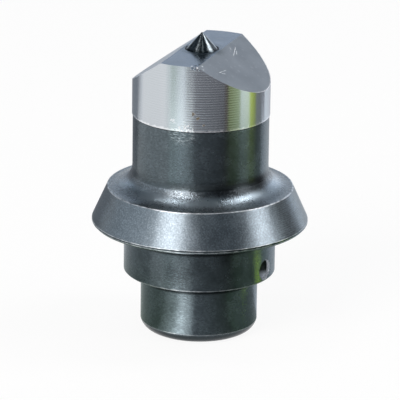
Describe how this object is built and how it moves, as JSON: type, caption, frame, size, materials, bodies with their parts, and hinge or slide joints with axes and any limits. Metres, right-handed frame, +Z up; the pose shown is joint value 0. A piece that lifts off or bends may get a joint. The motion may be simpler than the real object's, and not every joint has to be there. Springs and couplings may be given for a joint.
{
  "type": "piercing punch",
  "caption": "Round piercing punch for a coupling nut: tapered flange on a stepped foot, and a ground tip with two slopes, a flat ridge and a centre point.",
  "frame": {"origin": "centre of the spigot's flat end face", "axes": "+Z up the punch's axis to the centre point; +Y along the flat ridge of the tip; the drilled set-screw spot lies 10.5 degrees from +X towards -Y"},
  "size_m": [0.04, 0.04, 0.0568],
  "materials": {
    "tool_steel": "black oxide, with the tip, slopes and centre point ground bright"
  },
  "bodies": {
    "root": {"piercing_punch": "tool_steel"}
  },
  "joints": []
}
